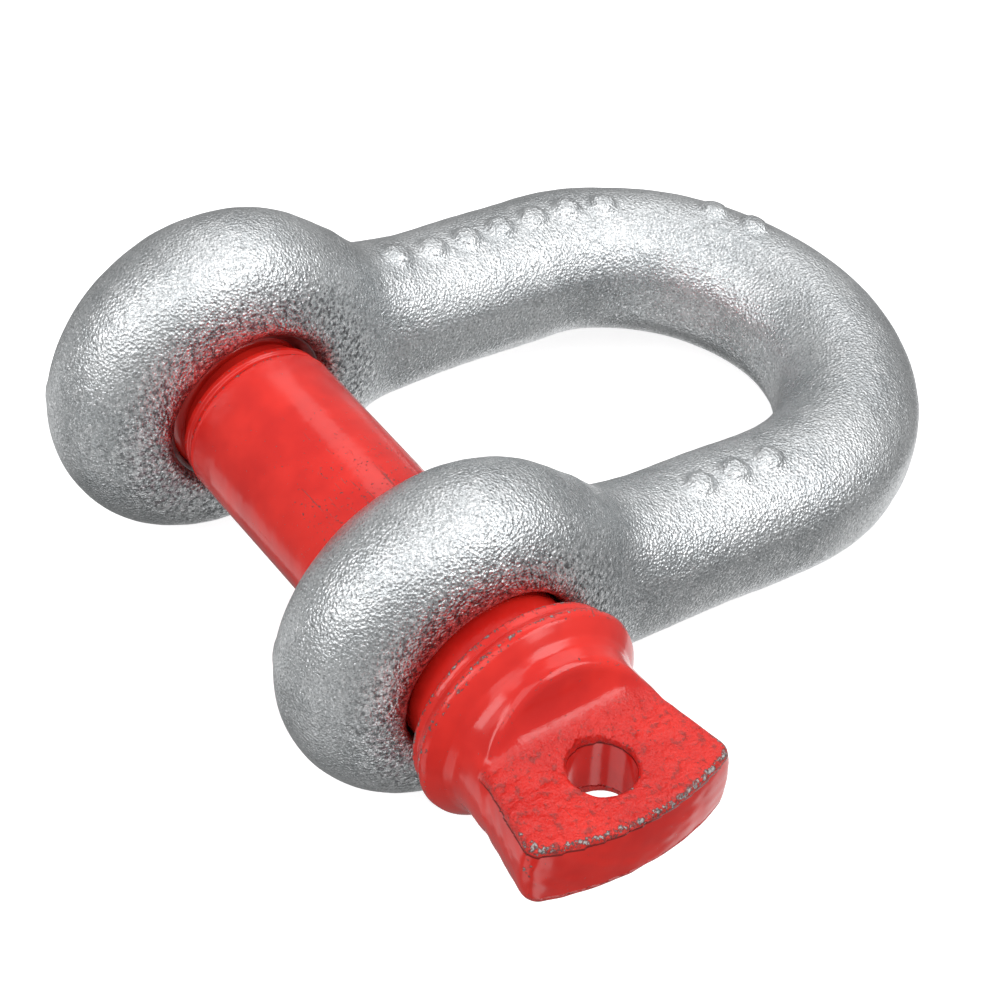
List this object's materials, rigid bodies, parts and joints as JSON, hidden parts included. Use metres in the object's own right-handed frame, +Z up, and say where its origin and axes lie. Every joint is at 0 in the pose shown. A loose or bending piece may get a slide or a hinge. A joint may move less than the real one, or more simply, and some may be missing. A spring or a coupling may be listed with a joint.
{
  "type": "dee shackle",
  "caption": "Galvanised forged dee shackle closed by a red screw pin with a flat drilled head.",
  "frame": {"origin": "on the pin's axis, midway between the two eyes", "axes": "+X along the pin towards its head, +Y from the pin to the crown along the line of pull, +Z up, square to the plane of the dee"},
  "size_m": [0.0926, 0.0977, 0.0408],
  "materials": {
    "galvanised": "hot-dip galvanised forging, satin with fine grain",
    "red_paint": "gloss paint over forged and turned steel, chipped at the edges",
    "steel": "bare steel, sealed inside the pin"
  },
  "bodies": {
    "shackle": {"shackle_body": "galvanised"},
    "core": {"pin_core": "steel"},
    "pin": {"screw_pin": "red_paint"}
  },
  "joints": [
    {"name": "pin_travel", "type": "slide", "parent": "shackle", "child": "core", "axis": [1, 0, 0], "range_m": [-0.0017, 0.0508]},
    {"name": "pin_turn", "type": "hinge", "parent": "core", "child": "pin", "pos_m": [0, 0, 0], "axis": [1, 0, 0], "range_deg": [-250, 7400]}
  ],
  "couplings": [
    {"joint": "pin_turn", "follows": "pin_travel", "rad_per_m": 2473.7}
  ]
}
